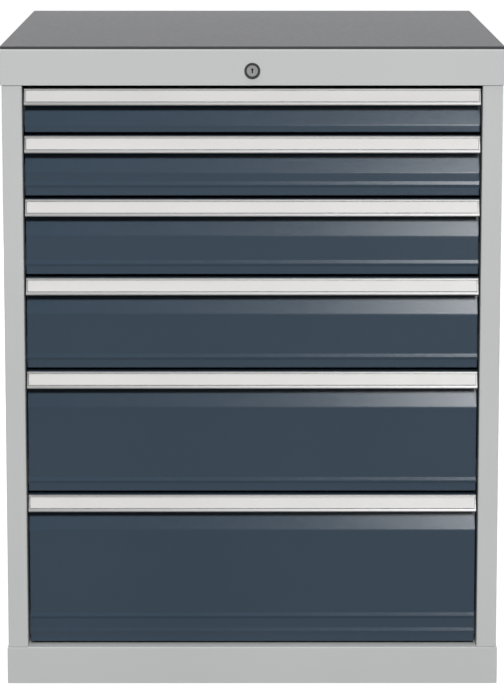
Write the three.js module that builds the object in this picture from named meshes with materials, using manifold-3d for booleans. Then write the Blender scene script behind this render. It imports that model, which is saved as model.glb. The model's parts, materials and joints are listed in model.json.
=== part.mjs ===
// Industrial drawer cabinet: a folded steel housing on a plinth, with a lift-off top cover and a
// rubber mat, six full-extension drawers on telescopic slides, and one central lock for all of them.
// Millimetres. X is the width, -Y is the front and +Z is up. The origin is the middle of the floor.

import * as THREE from 'three';
import { mergeVertices } from 'three/addons/utils/BufferGeometryUtils.js';
import Module from 'manifold-3d';

// Sheet and clearances
const housingSheet = 1.5;
const boxSheet = 1.2;
const seatGap = 0.3;
const runGap = 0.4;
const overrun = 3;

// Drawers: the inside of a box, and the cells from the top drawer to the bottom one
const insideWidth = 675;
const insideDepth = 600;
const cellHeights = [75, 100, 125, 150, 200, 250];
const ridgeCounts = [0, 1, 1, 1, 1, 2];

// Housing
const postWidth = 31.5;
const postDepth = 38;
const postReturn = 26;
const jambClearance = 8.5;
const rearSpace = 103.8;
const backFlange = 15;
const floorOverlap = 6;

// Plinth
const plinthHeight = 60;
const plinthProud = 2;
const plinthFlange = 40;

// Top cover and mat
const coverHeight = 56.5;
const coverProud = 2.5;
const coverFrontProud = 2;
const coverGap = 2.5;
const coverLip = 12;
const coverCorner = 3;
const matThickness = 4;
const matInset = 0.5;

// Drawer front: a plate that leans back behind the handle and has pressed ridges near its foot
const frontRecess = 17;
const frontSideGap = 2.5;
const leanDepth = 11;
const leanTopDrop = 30;
const shortestFlat = 11;
const plateLift = 2;
const lowestPlateLift = 4.5;
const footLip = 15;
const frontTopFlange = 12;
const ridgeLift = 13;
const ridgeUnderside = 4;
const ridgeFacet = 6;
const ridgeProud = 1.6;
const ridgePitch = 25;

// Handle rail, a long extrusion whose face leans back, with a slot for the label strip
const handleRecess = 3;
const handleLean = 9.3;
const handleTopDrop = 3;
const handleHeight = 26.6;
const handleFlange = 2.2;
const handleWall = 2;
const handleEdge = 1;
const gripRound = 3;
const slotLip = 1;
const slotLipCover = 1;
const labelHeight = 19.4;
const labelThickness = 1;
const labelEndGap = 2;

// Drawer box
const boxLift = 7;
const boxDrop = 17;
const boxRim = 6;

// Telescopic slide: a runner on the box, a middle rail and a fixed outer rail, one inside the other
const slideLift = 30;
const railSheet = 1.5;
const outerRailSheet = 2;
const runnerHalfHeight = 16;
const runnerReach = 7;
const runnerSetback = 10;
const middleReach = 6.4;
const outerReach = 7.3;
const middleTail = 26;
const hookPlateReach = 24;

// Central lock in the cover: housing, plug, shaft to the back, crank and lock bar
const lockDrop = 33.5;
const bezelDiameter = 25;
const bezelProud = 3;
const bezelEdge = 0.8;
const casingDiameter = 18.6;
const casingDepth = 20;
const plugHeadDiameter = 17.4;
const plugHeadDepth = 2;
const plugDiameter = 12;
const plugTail = 3;
const keyholeHead = 3.4;
const keyholeSlot = 1.8;
const keyholeHeight = 7.5;
const keyholeDepth = 6;
const shaftDiameter = 8;
const crankRadius = 8;
const crankThickness = 3;
const crankEdge = 3;
const crankPin = 5;
const pinClearance = 0.6;
const restTurn = THREE.MathUtils.degToRad(45);
const roundSides = 48;
const shaftSides = 24;

// Lock bar in its rear post, with a hook for the catch on the back of each box
const rearPostWidth = 28;
const rearPostLip = 6;
const rearPostDrop = 4;
const barThickness = 5;
const barTail = 40;
const barHeadWidth = 36;
const barHeadRise = 16;
const hookWidth = 9;
const hookArm = 3;
const hookTip = 4;
const hookRise = 28;
const hookPlay = 2;
const hookClearance = 1.5;
const catchRimDrop = 8;
const catchLip = 24;
const catchWidth = 20;
const catchLength = 34;
const catchSheet = 2;
const catchToPost = 16;

// Places worked out across the width
const boxHalfWidth = insideWidth / 2 + boxSheet;
const middleInnerReach = runnerReach + runGap;
const outerInnerReach = middleInnerReach + railSheet + runGap;
const slidePack = outerInnerReach + outerRailSheet;
const openingHalfWidth = boxHalfWidth + slidePack + jambClearance;
const bodyHalfWidth = openingHalfWidth + postWidth;
const frontHalfWidth = openingHalfWidth - frontSideGap;

// Places worked out through the depth
const boxDepth = insideDepth + 2 * boxSheet;
const boxSetback = frontRecess + leanDepth + housingSheet + seatGap;
const bodyDepth = boxSetback + boxDepth + rearSpace;
const bodyFront = -bodyDepth / 2;
const bodyBack = bodyDepth / 2;
const plateFace = bodyFront + frontRecess;
const handleFace = bodyFront + handleRecess;
const boxFront = bodyFront + boxSetback;
const boxBack = boxFront + boxDepth;
const postBack = bodyFront + postDepth;
const rearPostFront = bodyBack - postDepth;
const coverFront = bodyFront - coverFrontProud;
const coverBack = bodyBack + coverFrontProud;
const catchBack = boxBack + catchLength;
const guideFront = catchBack + catchToPost;
const barFront = guideFront + housingSheet + runGap;
const guideBack = bodyBack - housingSheet - seatGap;

// Places worked out up the height
const drawerStack = cellHeights.reduce((sum, height) => sum + height);
const cellTop = plinthHeight + drawerStack;
const coverBottom = cellTop + coverGap;
const coverTop = coverBottom + coverHeight;
const panelBottom = plinthHeight + seatGap;
const panelTop = coverTop - housingSheet - seatGap;
const floorTop = panelBottom + housingSheet;
const lockHeight = coverTop - lockDrop;
const lockTravel = 2 * crankRadius * Math.sin(restTurn);

// Materials
const lightGrey = new THREE.MeshStandardMaterial({ color: '#c6c8c7', roughness: 0.5, metalness: 0.1 });
const anthracite = new THREE.MeshStandardMaterial({ color: '#3b4753', roughness: 0.45, metalness: 0.1 });
const aluminium = new THREE.MeshStandardMaterial({ color: '#c9cbcc', roughness: 0.3, metalness: 0.9 });
const labelPaper = new THREE.MeshStandardMaterial({ color: '#e6e5e1', roughness: 0.4, metalness: 0 });
const rubber = new THREE.MeshStandardMaterial({ color: '#4a4c50', roughness: 0.8, metalness: 0 });
const zinc = new THREE.MeshStandardMaterial({ color: '#a7abae', roughness: 0.35, metalness: 0.9 });
const chrome = new THREE.MeshStandardMaterial({ color: '#8d9092', roughness: 0.15, metalness: 1 });

// Joining and cutting of closed shapes
const wasm = await Module();
wasm.setup();

function toSolid(geometry) {
  const bare = geometry.clone();
  bare.deleteAttribute('normal');
  bare.deleteAttribute('uv');
  const merged = mergeVertices(bare);
  return new wasm.Manifold(new wasm.Mesh({
    numProp: 3,
    vertProperties: merged.attributes.position.array,
    triVerts: new Uint32Array(merged.index.array),
  }));
}

function toGeometry(solid) {
  const mesh = solid.getMesh();
  const geometry = new THREE.BufferGeometry();
  geometry.setAttribute('position', new THREE.BufferAttribute(mesh.vertProperties, 3));
  geometry.setIndex(new THREE.BufferAttribute(mesh.triVerts, 1));
  geometry.computeVertexNormals();
  return geometry;
}

function join(...shapes) {
  return toGeometry(shapes.map(toSolid).reduce((sum, shape) => sum.add(shape)));
}

function cut(shape, ...tools) {
  return toGeometry(tools.map(toSolid).reduce((rest, tool) => rest.subtract(tool), toSolid(shape)));
}

// A rectangular block between two values on each axis
function block([x0, x1], [y0, y1], [z0, z1]) {
  const geometry = new THREE.BoxGeometry(x1 - x0, y1 - y0, z1 - z0);
  geometry.translate((x0 + x1) / 2, (y0 + y1) / 2, (z0 + z1) / 2);
  return geometry;
}

// A round pin along Y on the axis x = z = 0
function pinAlongY(diameter, [y0, y1], sides) {
  const geometry = new THREE.CylinderGeometry(diameter / 2, diameter / 2, y1 - y0, sides);
  return geometry.translate(0, (y0 + y1) / 2, 0);
}

function extrude(outline, length) {
  const shape = new THREE.Shape(outline.map(([u, v]) => new THREE.Vector2(u, v)));
  return new THREE.ExtrudeGeometry(shape, { depth: length, bevelEnabled: false });
}

const alongXAxis = new THREE.Vector3(1, 0, 0);
const alongYAxis = new THREE.Vector3(0, 1, 0);
const alongZAxis = new THREE.Vector3(0, 0, 1);

// An outline of [y, z] points drawn out along X
function extrudeX(outline, [x0, x1]) {
  const turn = new THREE.Matrix4().makeBasis(alongYAxis, alongZAxis, alongXAxis);
  return extrude(outline, x1 - x0).applyMatrix4(turn).translate(x0, 0, 0);
}

// An outline of [x, z] points drawn out along Y
function extrudeY(outline, [y0, y1]) {
  const turn = new THREE.Matrix4().makeBasis(alongXAxis, alongZAxis, alongYAxis.clone().negate());
  return extrude(outline, y1 - y0).applyMatrix4(turn).translate(0, y1, 0);
}

// An outline of [x, y] points drawn out along Z
function extrudeZ(outline, [z0, z1]) {
  return extrude(outline, z1 - z0).translate(0, 0, z0);
}

// The section of a folded sheet: the points of its outer face, then its inner face one thickness
// to the left, mitred at every fold
function foldedSheet(face, thickness) {
  const points = face.map(([u, v]) => new THREE.Vector2(u, v));
  const last = points.length - 1;
  const inner = points.map((point, i) => {
    const before = i > 0 ? point.clone().sub(points[i - 1]) : points[1].clone().sub(point);
    const after = i < last ? points[i + 1].clone().sub(point) : before.clone();
    const normals = [before, after].map((run) => run.normalize()).map(({ x, y }) => [-y, x]);
    const mitre = new THREE.Vector2(normals[0][0] + normals[1][0], normals[0][1] + normals[1][1]);
    return point.clone().addScaledVector(mitre, 2 * thickness / mitre.lengthSq());
  });
  return [...points, ...inner.reverse()].map(({ x, y }) => [x, y]);
}

function mirrored(outline) {
  return outline.map(([x, other]) => [-x, other]);
}

const cabinet = new THREE.Group();

function add(name, geometry, material, parent = cabinet) {
  const mesh = new THREE.Mesh(geometry, material);
  mesh.name = name;
  parent.add(mesh);
  return mesh;
}

// Side panel: one sheet folded into the side and its front and rear posts
function sidePanelOutline() {
  const returnInner = openingHalfWidth + postReturn;
  const face = [
    [returnInner, postBack],
    [openingHalfWidth, postBack],
    [openingHalfWidth, bodyFront],
    [bodyHalfWidth, bodyFront],
    [bodyHalfWidth, bodyBack],
    [openingHalfWidth, bodyBack],
    [openingHalfWidth, rearPostFront],
    [returnInner, rearPostFront],
  ];
  return foldedSheet(face, housingSheet);
}

const panelRise = [panelBottom, panelTop];
add('side_panel_right', extrudeZ(sidePanelOutline(), panelRise), lightGrey);
add('side_panel_left', extrudeZ(mirrored(sidePanelOutline()), panelRise), lightGrey);

// Back panel: a shallow pan between the rear posts
function backPanelOutline() {
  const edge = openingHalfWidth - seatGap;
  const flangeFront = bodyBack - backFlange;
  const face = [[edge, flangeFront], [edge, bodyBack], [-edge, bodyBack], [-edge, flangeFront]];
  return foldedSheet(face, housingSheet);
}

add('back_panel', extrudeZ(backPanelOutline(), [floorTop + seatGap, panelTop]), lightGrey);

// Plinth: four walls under a flange that turns inwards all round
const plinthHalfWidth = bodyHalfWidth + plinthProud;
const flangeInnerX = bodyHalfWidth - plinthFlange;
const flangeInnerY = bodyBack - plinthFlange;
const plinthWalls = block([-plinthHalfWidth, plinthHalfWidth], [bodyFront, bodyBack], [0, plinthHeight]);
const plinthHollow = block(
  [housingSheet - plinthHalfWidth, plinthHalfWidth - housingSheet],
  [bodyFront + housingSheet, bodyBack - housingSheet],
  [-overrun, plinthHeight - housingSheet],
);
const plinthWindow = block(
  [-flangeInnerX, flangeInnerX],
  [-flangeInnerY, flangeInnerY],
  [0, plinthHeight + overrun],
);
add('plinth', cut(plinthWalls, plinthHollow, plinthWindow), lightGrey);

// Floor panel: rests on the plinth's flange between the posts
const floorHalfWidth = Math.min(flangeInnerX + floorOverlap, openingHalfWidth - seatGap);
add('floor_panel', block(
  [-floorHalfWidth, floorHalfWidth],
  [-flangeInnerY - floorOverlap, flangeInnerY + floorOverlap],
  [panelBottom, floorTop],
), lightGrey);

// Top cover: a tray turned over, with a lip under its front and a hole for the lock
function roundedRectangle(halfWidth, front, back, radius) {
  const path = new THREE.Shape();
  path.moveTo(radius - halfWidth, front);
  path.lineTo(halfWidth - radius, front);
  path.quadraticCurveTo(halfWidth, front, halfWidth, front + radius);
  path.lineTo(halfWidth, back - radius);
  path.quadraticCurveTo(halfWidth, back, halfWidth - radius, back);
  path.lineTo(radius - halfWidth, back);
  path.quadraticCurveTo(-halfWidth, back, -halfWidth, back - radius);
  path.lineTo(-halfWidth, front + radius);
  path.quadraticCurveTo(-halfWidth, front, radius - halfWidth, front);
  const sidesPerCorner = 4;
  const points = path.getPoints(sidesPerCorner).map(({ x, y }) => [x, y]);
  return points.slice(0, -1);
}

const coverHalfWidth = bodyHalfWidth + coverProud;
const coverBody = extrudeZ(
  roundedRectangle(coverHalfWidth, coverFront, coverBack, coverCorner),
  [coverBottom, coverTop],
);
const coverHollow = block(
  [housingSheet - coverHalfWidth, coverHalfWidth - housingSheet],
  [coverFront + housingSheet, coverBack - housingSheet],
  [coverBottom - overrun, coverTop - housingSheet],
);
const coverFrontLip = block(
  [seatGap - openingHalfWidth, openingHalfWidth - seatGap],
  [coverFront + housingSheet / 2, coverFront + coverLip],
  [coverBottom, coverBottom + housingSheet],
);
const lockHole = pinAlongY(
  casingDiameter + 2 * seatGap,
  [coverFront - overrun, coverFront + overrun],
  roundSides,
).translate(0, 0, lockHeight);
add('top_cover', cut(join(cut(coverBody, coverHollow), coverFrontLip), lockHole), lightGrey);

const matOutline = roundedRectangle(
  coverHalfWidth - matInset,
  coverFront + matInset,
  coverBack - matInset,
  coverCorner,
);
const matBottom = coverTop + seatGap;
add('top_mat', extrudeZ(matOutline, [matBottom, matBottom + matThickness]), rubber);

// Rear post: an open channel up the middle of the back, which guides the lock bar
const guideHalfWidth = rearPostWidth / 2;
const guideMouth = guideHalfWidth - rearPostLip;
const rearPostOutline = foldedSheet([
  [guideMouth, guideFront],
  [guideHalfWidth, guideFront],
  [guideHalfWidth, guideBack],
  [-guideHalfWidth, guideBack],
  [-guideHalfWidth, guideFront],
  [-guideMouth, guideFront],
], housingSheet);
const rearPostTop = cellTop - rearPostDrop;
add('rear_post', extrudeZ(rearPostOutline, [floorTop + seatGap, rearPostTop]), zinc);

// Every front bends at the same depth below its cell's top, where the lowest cell keeps some flat plate
const bendDrop = Math.min(...cellHeights) - plateLift - shortestFlat;

// Drawer front: its face from the foot lip to the flange under the handle, in [y, z]
function drawerFrontFace(cellHeight, foot, ridgeCount) {
  const deepFace = plateFace + leanDepth;
  const lipBack = deepFace + housingSheet;
  const top = cellHeight - handleTopDrop - handleFlange - seatGap;
  const face = [
    [deepFace + frontTopFlange, top],
    [deepFace, top],
    [deepFace, cellHeight - leanTopDrop],
    [plateFace, cellHeight - bendDrop],
  ];
  for (let ridge = ridgeCount - 1; ridge >= 0; ridge -= 1) {
    const underside = foot + ridgeLift + ridge * ridgePitch;
    const crest = underside + ridgeUnderside;
    face.push([plateFace, crest + ridgeFacet], [plateFace - ridgeProud, crest], [plateFace, underside]);
  }
  face.push([plateFace, foot], [lipBack, foot], [lipBack, foot + footLip]);
  return face;
}

// The folded end of a drawer front fills the section from the plate back to the foot lip
function frontEndOutline(cellHeight, foot) {
  const back = plateFace + leanDepth + housingSheet / 2;
  const inset = housingSheet / 2;
  return [
    [plateFace + inset, foot + inset],
    [back, foot + inset],
    [back, cellHeight - leanTopDrop],
    [plateFace + inset, cellHeight - bendDrop],
  ];
}

function drawerFront(cellHeight, foot, ridgeCount) {
  const section = foldedSheet(drawerFrontFace(cellHeight, foot, ridgeCount), housingSheet);
  const end = frontEndOutline(cellHeight, foot);
  return join(
    extrudeX(section, [-frontHalfWidth, frontHalfWidth]),
    extrudeX(end, [-frontHalfWidth, housingSheet - frontHalfWidth]),
    extrudeX(end, [frontHalfWidth - housingSheet, frontHalfWidth]),
  );
}

// Handle section in [y, z], measured from the handle's face and down from the top of its cell.
// The face leans back from its foot, and so do the slot, the wall behind it and the label strip.
const slotDepth = labelThickness + 2 * seatGap;
const slotHeight = labelHeight + 2 * seatGap;
const slotTop = handleTopDrop + handleFlange;
const slotBottom = slotTop + slotHeight;
const handleBack = leanDepth + frontRecess - handleRecess + frontTopFlange;
const gripBack = slotLip + slotDepth + handleWall;
const handleBottom = handleTopDrop + handleHeight;

function leaning(depth, drop, cellHeight) {
  const lean = handleLean * (handleBottom - drop) / handleHeight;
  return [handleFace + depth + lean, cellHeight - drop];
}

function handleSection(cellHeight) {
  const quarterSteps = 4;
  const grip = Array.from({ length: quarterSteps + 1 }, (_, i) => {
    const angle = i * Math.PI / 2 / quarterSteps;
    const depth = gripRound * (1 - Math.sin(angle));
    const drop = handleBottom - gripRound * (1 - Math.cos(angle));
    return [depth, drop];
  });
  const flangeBack = [
    [handleFace + handleBack, cellHeight - handleTopDrop],
    [handleFace + handleBack, cellHeight - slotTop],
  ];
  const section = [
    [gripBack, slotTop],
    [gripBack, handleBottom - handleEdge],
    [gripBack - handleEdge, handleBottom],
    ...grip,
    [0, slotBottom - slotLipCover],
    [slotLip, slotBottom - slotLipCover],
    [slotLip, slotBottom],
    [slotLip + slotDepth, slotBottom],
    [slotLip + slotDepth, slotTop],
    [slotLip, slotTop],
    [slotLip, slotTop + slotLipCover],
    [0, slotTop + slotLipCover],
    [0, handleTopDrop + handleEdge],
    [handleEdge, handleTopDrop],
  ];
  return [...flangeBack, ...section.map(([depth, drop]) => leaning(depth, drop, cellHeight))];
}

function labelStrip(cellHeight) {
  const front = slotLip + seatGap;
  const back = front + labelThickness;
  const top = slotTop + seatGap;
  const bottom = slotBottom - seatGap;
  const section = [[front, top], [back, top], [back, bottom], [front, bottom]];
  const end = frontHalfWidth - labelEndGap;
  return extrudeX(section.map(([depth, drop]) => leaning(depth, drop, cellHeight)), [-end, end]);
}

// Slide sections in [x, z] for the right side: channels of a half height, with a web and two flanges
function channel(innerX, webX, halfHeight, thickness) {
  const face = [
    [innerX, slideLift - halfHeight],
    [webX, slideLift - halfHeight],
    [webX, slideLift + halfHeight],
    [innerX, slideLift + halfHeight],
  ];
  return foldedSheet(face, thickness);
}

const middleHalfHeight = runnerHalfHeight + runGap + railSheet;
const outerHalfHeight = middleHalfHeight + runGap + outerRailSheet;
const middleWebX = boxHalfWidth + middleInnerReach + railSheet;
const outerWebX = boxHalfWidth + slidePack;
const middleSection = channel(middleWebX - middleReach, middleWebX, middleHalfHeight, railSheet);
const outerSection = channel(outerWebX - outerReach, outerWebX, outerHalfHeight, outerRailSheet);
const runnerFace = [
  [boxHalfWidth + runnerReach, slideLift + runnerHalfHeight],
  [boxHalfWidth - boxSheet / 2, slideLift + runnerHalfHeight],
  [boxHalfWidth - boxSheet / 2, slideLift - runnerHalfHeight],
  [boxHalfWidth + runnerReach, slideLift - runnerHalfHeight],
];
const runnerSection = foldedSheet(runnerFace, railSheet);
const railFront = postBack + seatGap;
const railBack = rearPostFront - seatGap;
const middleFront = boxFront + runnerSetback;
const middleBack = boxBack + middleTail;

// The fixed rail ends in a plate at each post, which hooks into the post's return
function outerRail(side) {
  const hand = (outline) => (side > 0 ? outline : mirrored(outline));
  const plate = hand([
    [outerWebX - outerRailSheet, slideLift - outerHalfHeight],
    [outerWebX + hookPlateReach, slideLift - outerHalfHeight],
    [outerWebX + hookPlateReach, slideLift + outerHalfHeight],
    [outerWebX - outerRailSheet, slideLift + outerHalfHeight],
  ]);
  return join(
    extrudeY(hand(outerSection), [railFront, railBack]),
    extrudeY(plate, [railFront, railFront + outerRailSheet]),
    extrudeY(plate, [railBack - outerRailSheet, railBack]),
  );
}

function middleRail(side) {
  const section = side > 0 ? middleSection : mirrored(middleSection);
  return extrudeY(section, [middleFront, middleBack]);
}

// The underside of a catch's tongue, above the bottom of its cell
function catchTongue(cellHeight) {
  return cellHeight - boxDrop - catchRimDrop;
}

// Drawer box: a tray with rims turned out at the top, its two runners and the catch at the back
function drawerBox(cellHeight) {
  const boxTop = cellHeight - boxDrop;
  const inner = insideWidth / 2;
  const wallFaces = [boxFront + boxSheet, boxBack - boxSheet];
  const wallMiddle = boxHalfWidth - boxSheet / 2;
  const rimSection = [
    [wallMiddle, boxTop - boxSheet],
    [boxHalfWidth + boxRim, boxTop - boxSheet],
    [boxHalfWidth + boxRim, boxTop],
    [wallMiddle, boxTop],
  ];
  const catchAcross = [-catchWidth / 2, catchWidth / 2];
  const tongue = catchTongue(cellHeight);
  const tray = cut(
    block([-boxHalfWidth, boxHalfWidth], [boxFront, boxBack], [boxLift, boxTop]),
    block([-inner, inner], wallFaces, [boxLift + boxSheet, boxTop + overrun]),
  );
  return join(
    tray,
    extrudeY(rimSection, [boxFront, boxBack]),
    extrudeY(mirrored(rimSection), [boxFront, boxBack]),
    extrudeY(runnerSection, [middleFront, boxBack]),
    extrudeY(mirrored(runnerSection), [middleFront, boxBack]),
    block(catchAcross, [boxBack - boxSheet / 2, catchBack], [tongue, tongue + catchSheet]),
    block(catchAcross, [catchBack - catchSheet, catchBack], [tongue - catchLip, tongue + catchSheet / 2]),
  );
}

// Cells from the top: drawer, handle, label strip and a pair of slides in each
const cellBottoms = cellHeights.map((_, i) => (
  cellTop - cellHeights.slice(0, i + 1).reduce((sum, height) => sum + height)
));
cellHeights.forEach((cellHeight, i) => {
  const number = i + 1;
  const isLowest = number === cellHeights.length;
  const foot = isLowest ? lowestPlateLift : plateLift;
  const cell = new THREE.Group();
  cell.position.z = cellBottoms[i];
  cabinet.add(cell);
  add(`drawer_front_${number}`, drawerFront(cellHeight, foot, ridgeCounts[i]), anthracite, cell);
  add(`drawer_box_${number}`, drawerBox(cellHeight), lightGrey, cell);
  const handle = extrudeX(handleSection(cellHeight), [-frontHalfWidth, frontHalfWidth]);
  add(`handle_${number}`, handle, aluminium, cell);
  add(`label_strip_${number}`, labelStrip(cellHeight), labelPaper, cell);
  add(`slide_outer_left_${number}`, outerRail(-1), zinc, cell);
  add(`slide_outer_right_${number}`, outerRail(1), zinc, cell);
  add(`slide_middle_left_${number}`, middleRail(-1), zinc, cell);
  add(`slide_middle_right_${number}`, middleRail(1), zinc, cell);
});

// Lock: everything that turns lies on one axis from the cover's face to the lock bar
const lock = new THREE.Group();
lock.position.z = lockHeight;
cabinet.add(lock);

// A closed shape of revolution about the lock's axis, from [radius, y] points
function turned(profile, sides) {
  return new THREE.LatheGeometry(profile.map(([radius, y]) => new THREE.Vector2(radius, y)), sides);
}

const bezelFront = coverFront - bezelProud;
const bezelBack = coverFront - seatGap;
const casingBack = coverFront + casingDepth;
const headSeat = bezelFront + plugHeadDepth + seatGap;
const headBore = plugHeadDiameter / 2 + seatGap;
const plugBore = plugDiameter / 2 + seatGap;
add('lock_housing', turned([
  [headBore, bezelFront],
  [bezelDiameter / 2 - bezelEdge, bezelFront],
  [bezelDiameter / 2, bezelFront + bezelEdge],
  [bezelDiameter / 2, bezelBack],
  [casingDiameter / 2, bezelBack],
  [casingDiameter / 2, casingBack],
  [plugBore, casingBack],
  [plugBore, headSeat],
  [headBore, headSeat],
  [headBore, bezelFront],
], roundSides), chrome, lock);

// Plug: a head in the bezel and a barrel behind it, with a keyhole that is round at the top
const plugBack = casingBack + plugTail;
const headBack = bezelFront + plugHeadDepth;
const plugHead = pinAlongY(plugHeadDiameter, [bezelFront, headBack], roundSides);
const plugBarrel = pinAlongY(plugDiameter, [headBack - plugHeadDepth / 2, plugBack], roundSides);
const keyholeHeadHeight = keyholeHeight / 2 - keyholeHead / 2;
const keyRound = pinAlongY(keyholeHead, [bezelFront - overrun, bezelFront + keyholeDepth], shaftSides)
  .translate(0, 0, keyholeHeadHeight);
const keySlot = block(
  [-keyholeSlot / 2, keyholeSlot / 2],
  [bezelFront - overrun, bezelFront + keyholeDepth],
  [-keyholeHeight / 2, keyholeHeadHeight],
);
add('lock_plug', cut(join(plugHead, plugBarrel), keyRound, keySlot), chrome, lock);

// Shaft: runs to the back above the top drawer and ends in a crank, whose pin lifts the lock bar
const crankBack = guideFront - seatGap;
const shaftFront = plugBack + seatGap;
const pinX = -crankRadius * Math.cos(restTurn);
const pinZ = -crankRadius * Math.sin(restTurn);
const pinBack = barFront + barThickness;
const pinFront = crankBack - crankThickness;
const crankWidth = crankPin + 2 * crankEdge;
const shaftRod = pinAlongY(shaftDiameter, [shaftFront, crankBack], shaftSides);
const crankArm = block([-crankRadius, 0], [pinFront, crankBack], [-crankWidth / 2, crankWidth / 2])
  .rotateY(-restTurn);
const crankHub = pinAlongY(crankWidth, [pinFront, crankBack], shaftSides);
const crankEye = pinAlongY(crankWidth, [pinFront, crankBack], shaftSides).translate(pinX, 0, pinZ);
const pin = pinAlongY(crankPin, [pinFront, pinBack], shaftSides).translate(pinX, 0, pinZ);
add('lock_shaft', join(shaftRod, crankArm, crankEye, crankHub, pin), zinc, lock);

// Lock bar: a flat in the rear post, a wide head with the slot for the crank pin, and the hooks
const barHalfWidth = guideHalfWidth - housingSheet - runGap;
const barBack = barFront + barThickness;
const headTop = lockHeight + pinZ + barHeadRise;
const headBottom = rearPostTop + hookClearance;
const slotHalfHeight = crankPin / 2 + pinClearance;
const barHead = block([-barHeadWidth / 2, barHeadWidth / 2], [barFront, barBack], [headBottom, headTop]);
const pinSlot = block(
  [-crankRadius - slotHalfHeight, pinX + slotHalfHeight],
  [barFront - overrun, barBack + overrun],
  [lockHeight + pinZ - slotHalfHeight, lockHeight + pinZ + slotHalfHeight],
);
const tipBack = catchBack - catchSheet - hookPlay;
const tipFront = tipBack - hookTip;
const tipTops = cellBottoms.map((bottom, i) => (
  bottom + catchTongue(cellHeights[i]) - catchLip - hookClearance
));
const hooks = tipTops.flatMap((tipTop) => {
  const armTop = tipTop - hookRise;
  const acrossX = [-hookWidth / 2, hookWidth / 2];
  return [
    block(acrossX, [tipFront, barFront + barThickness / 2], [armTop - hookArm, armTop]),
    block(acrossX, [tipFront, tipBack], [armTop - hookArm, tipTop]),
  ];
});
const barBottom = Math.min(...tipTops) - hookRise - barTail;
const barBlade = block([-barHalfWidth, barHalfWidth], [barFront, barBack], [barBottom, headTop]);
add('lock_bar', cut(join(barBlade, barHead, ...hooks), pinSlot), zinc);

export default cabinet;
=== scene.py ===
# Industrial drawer cabinet, dressed for the photograph: folded and painted sheet steel, aluminium
# handle rails with label strips, a rubber mat and a turned lock, in a plain white studio.
# Metres. X is the width, -Y is the front and +Z is up. The origin is on the floor, below the
# middle of the housing.

import json
import math

import bmesh
import bpy
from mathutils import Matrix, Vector


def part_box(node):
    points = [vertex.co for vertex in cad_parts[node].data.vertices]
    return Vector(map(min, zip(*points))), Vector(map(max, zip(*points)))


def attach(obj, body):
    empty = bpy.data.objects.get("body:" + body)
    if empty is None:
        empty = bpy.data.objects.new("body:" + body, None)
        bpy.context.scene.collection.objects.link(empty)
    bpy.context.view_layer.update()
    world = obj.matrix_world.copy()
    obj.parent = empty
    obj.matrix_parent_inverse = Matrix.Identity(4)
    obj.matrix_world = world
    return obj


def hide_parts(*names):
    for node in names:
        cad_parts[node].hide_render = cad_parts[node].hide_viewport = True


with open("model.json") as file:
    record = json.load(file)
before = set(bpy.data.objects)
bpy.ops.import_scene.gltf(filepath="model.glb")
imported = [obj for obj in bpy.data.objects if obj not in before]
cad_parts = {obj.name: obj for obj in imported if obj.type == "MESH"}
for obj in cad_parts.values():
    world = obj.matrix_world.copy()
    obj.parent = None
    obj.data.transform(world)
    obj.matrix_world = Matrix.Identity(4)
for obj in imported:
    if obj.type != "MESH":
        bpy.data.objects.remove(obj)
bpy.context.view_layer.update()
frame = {"nodes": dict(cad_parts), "record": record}

MM = 0.001
DRAWERS = range(1, 7)
SIDES = ("left", "right")

# Radii of the folds and edges
FOLD = 2.0 * MM
COVER_FOLD = 2.2 * MM
FRONT_FOLD = 1.8 * MM
RAIL_FOLD = 1.6 * MM
MAT_EDGE = 0.5 * MM
HANDLE_EDGE = 0.6 * MM
LABEL_EDGE = 0.15 * MM
TURNED_EDGE = 0.35 * MM
BAR_EDGE = 0.5 * MM
EDGE_SHARE = 0.25
HOUSING_SHEET = 1.5 * MM
ROUNDING_STEPS = 3
LEAST_BEND = math.radians(12)
LEAST_SHORT_BEND = math.radians(24)
SHORT_FACE = 3.0 * MM
SAME_POINT = 0.02 * MM
SAME_PLANE = math.radians(0.5)
SMOOTH_UNDER = math.radians(40)
SQUARE_ENOUGH = 0.5
WIDEST = 1.0

# Drawer boxes: the inside, and a slot in each square of the divider grid
GRID = 25.0 * MM
INSIDE_COLUMNS = 27
INSIDE_ROWS = 24
INSIDE_HALF_WIDTH = INSIDE_COLUMNS * GRID / 2
INSIDE_DEPTH = INSIDE_ROWS * GRID
BOX_SHEET = 1.2 * MM
BOX_LIFT = 7.0 * MM
BOX_DROP = 17.0 * MM
RIM_REACH = 6.0 * MM
RIM_FOLD = 2.0 * MM
RIM_STEPS = 3
SLOT_ROW = 35.5 * MM
SLOT_WIDTH = 3.5 * MM
SLOT_ROUND = 1.5 * MM
SLOT_STEPS = 2
SLOT_MARGIN = 6.0 * MM
CORNER_FOLD = 1.5 * MM
CORNER_STEPS = 2

# Runners on the boxes, and the lock's catches
RUNNER_LIFT = 30.0 * MM
RUNNER_HALF_HEIGHT = 16.0 * MM
RUNNER_REACH = 7.0 * MM
RUNNER_SETBACK = 10.0 * MM
RUNNER_SHEET = 1.5 * MM
RUNNER_GAP = 0.05 * MM
RIVETS = 5
RIVET_RADIUS = 4.0 * MM
RIVET_HEIGHT = 1.5 * MM
RIVET_SIDES = 16
RIVET_STEPS = 2
CATCH_HALF_WIDTH = 10.0 * MM
CATCH_DROP = 25.0 * MM
CATCH_LIP = 24.0 * MM
CATCH_SHEET = 2.0 * MM
CATCH_FOLD = 3.0 * MM

# Screws in the back panel
SCREW_RADIUS = 4.5 * MM
SCREW_HEIGHT = 1.7 * MM
SCREW_SOCKET = 2.0 * MM
SCREW_SIDES = 24
SCREW_STEPS = 3
SCREW_INSET = 13.0 * MM
SCREW_FIRST = 100.0 * MM
SCREWS = 6

# Share of a rivet's or a screw's height that its crown takes up
CROWN_SHARE = 0.6

# Keyhole in the lock's plug
KEYWAY_RIM = 0.4 * MM
KEYWAY_REACH = 4.5 * MM

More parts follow.
